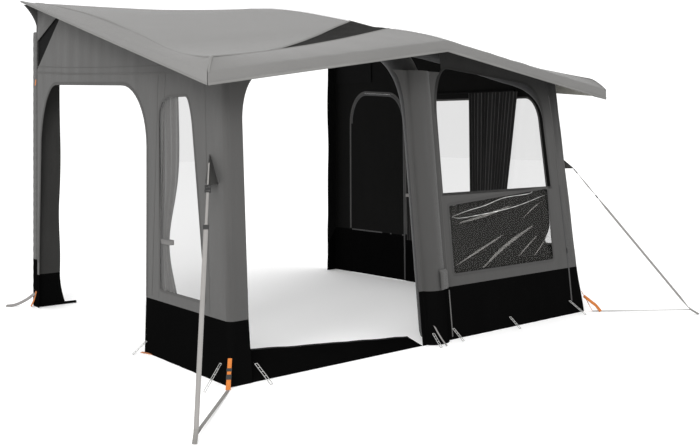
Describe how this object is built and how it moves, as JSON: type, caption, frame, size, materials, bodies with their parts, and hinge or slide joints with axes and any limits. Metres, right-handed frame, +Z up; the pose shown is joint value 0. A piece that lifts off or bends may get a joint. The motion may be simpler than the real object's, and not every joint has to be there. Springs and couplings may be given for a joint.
{
  "type": "campervan awning",
  "caption": "Air-frame porch awning for a vehicle's side: peaked roof, open front bay, side walls with windows and a door, curtains and taut storm straps",
  "frame": {"origin": "middle of the footprint on the ground, without the straps that run out to the pegs", "axes": "+Z is up, +Y points to the vehicle, the front faces -Y and +X is to the right seen from the front"},
  "size_m": [4.5584, 3.741, 2.5372],
  "materials": {
    "roof_cloth": "light warm grey coated polyester, fine weave",
    "wall_cloth": "mid grey coated polyester",
    "dark_cloth": "black coated polyester",
    "mud_cloth": "black waterproof mudwall cloth, slight sheen",
    "film": "clear flexible window film",
    "mesh_cloth": "dark fine vent mesh",
    "beam_cloth": "dark woven sleeve over an air bladder",
    "curtain_cloth": "soft grey curtain cloth",
    "webbing": "pale grey woven webbing",
    "orange_webbing": "orange woven webbing",
    "black_plastic": "moulded black plastic",
    "ladder_rubber": "grey moulded rubber"
  },
  "bodies": {
    "awning": {"roof_main": "roof_cloth", "front_canopy": "roof_cloth", "side_band_left": "roof_cloth", "side_band_right": "roof_cloth", "roof_vent_mesh": "mesh_cloth", "rail_beading": "webbing", "side_wall_left": "wall_cloth", "side_wall_right": "wall_cloth", "mudwall_left": "mud_cloth", "mudwall_right": "mud_cloth", "mudwall_front": "mud_cloth", "window_film_left": "film", "window_film_right": "film", "rear_gusset_left": "wall_cloth", "rear_gusset_right": "wall_cloth", "rear_panel_left": "dark_cloth", "rear_panel_right": "dark_cloth", "rear_mudflap_left": "mud_cloth", "rear_mudflap_right": "mud_cloth", "rear_seal_left": "wall_cloth", "rear_seal_right": "wall_cloth", "air_beam_left": "beam_cloth", "air_beam_middle": "beam_cloth", "air_beam_right": "beam_cloth", "leg_sleeve_left": "wall_cloth", "leg_sleeve_middle": "wall_cloth", "leg_sleeve_right": "wall_cloth", "front_panel_right": "wall_cloth", "front_film_lower": "film", "threshold_strip": "mud_cloth", "curtain_track_left": "black_plastic", "curtain_track_right": "black_plastic", "storm_patch_left": "wall_cloth", "storm_patch_right": "wall_cloth", "storm_buckle_left": "black_plastic", "storm_buckle_right": "black_plastic", "storm_strap_left": "webbing", "storm_strap_right": "webbing", "storm_ground_line_left": "webbing", "storm_ground_line_right": "webbing", "peg_ladder_side": "ladder_rubber", "peg_ladder_middle": "ladder_rubber", "peg_ladder_front": "ladder_rubber", "corner_strap_left": "orange_webbing", "corner_strap_right": "orange_webbing", "valve_body": "black_plastic"},
    "door": {"door_right": "wall_cloth"},
    "window_flap": {"veranda_flap": "film"},
    "left_curtain": {"curtain_left": "curtain_cloth", "tieback_left": "webbing"},
    "right_rear_curtain": {"curtain_right_rear": "curtain_cloth", "tieback_right": "webbing"},
    "right_middle_curtain": {"curtain_right_middle": "curtain_cloth"},
    "left_adjuster": {"storm_adjuster_left": "black_plastic"},
    "right_adjuster": {"storm_adjuster_right": "black_plastic"},
    "pin": {"valve_pin": "black_plastic"},
    "cap": {"valve_cap": "black_plastic"},
    "inflation_flap": {"valve_flap": "wall_cloth"},
    "door_slider": {"zip_slider_door": "black_plastic"},
    "front_slider": {"zip_slider_front": "black_plastic"}
  },
  "joints": [
    {"name": "door_swing", "type": "hinge", "parent": "awning", "child": "door", "pos_m": [1.59771, 1.2639, 0.44], "axis": [-0.0037, 0, 1], "range_deg": [0, 110]},
    {"name": "window_flap_fold", "type": "hinge", "parent": "awning", "child": "window_flap", "pos_m": [0, -1.3859, 1.01], "axis": [1, 0, 0], "range_deg": [0, 175]},
    {"name": "left_curtain_slide", "type": "slide", "parent": "awning", "child": "left_curtain", "axis": [-0.0033, -1, 0], "range_m": [0, 0.12]},
    {"name": "right_rear_curtain_slide", "type": "slide", "parent": "awning", "child": "right_rear_curtain", "axis": [0.0033, -1, 0], "range_m": [0, 0.55]},
    {"name": "right_middle_curtain_slide", "type": "slide", "parent": "awning", "child": "right_middle_curtain", "axis": [0.0033, -1, 0], "range_m": [-0.5, 0]},
    {"name": "left_adjuster_slide", "type": "slide", "parent": "awning", "child": "left_adjuster", "axis": [-0.3756, -0.534, -0.7574], "range_m": [-0.12, 0.6]},
    {"name": "right_adjuster_slide", "type": "slide", "parent": "awning", "child": "right_adjuster", "axis": [0.3573, -0.5197, -0.776], "range_m": [-0.12, 0.6]},
    {"name": "valve_pin_press", "type": "slide", "parent": "awning", "child": "pin", "axis": [0.301, -0.9479, 0.1043], "range_m": [-0.003, 0], "stiffness_N_per_m": 200},
    {"name": "valve_cap_turn", "type": "hinge", "parent": "awning", "child": "cap", "pos_m": [0.05442, -1.51482, 0.43653], "axis": [0.301, -0.9479, 0.1043], "range_deg": [0, 90]},
    {"name": "valve_flap_lift", "type": "hinge", "parent": "awning", "child": "inflation_flap", "pos_m": [0.05099, -1.49723, 0.49697], "axis": [-0.9531, -0.3027, 0], "range_deg": [0, 120]},
    {"name": "door_zip", "type": "slide", "parent": "awning", "child": "door_slider", "axis": [-0.0154, 0, 0.9999], "range_m": [-0.4, 0.9]},
    {"name": "front_zip", "type": "slide", "parent": "awning", "child": "front_slider", "axis": [-0.0358, 0.1093, 0.9934], "range_m": [-0.12, 0.9]}
  ]
}
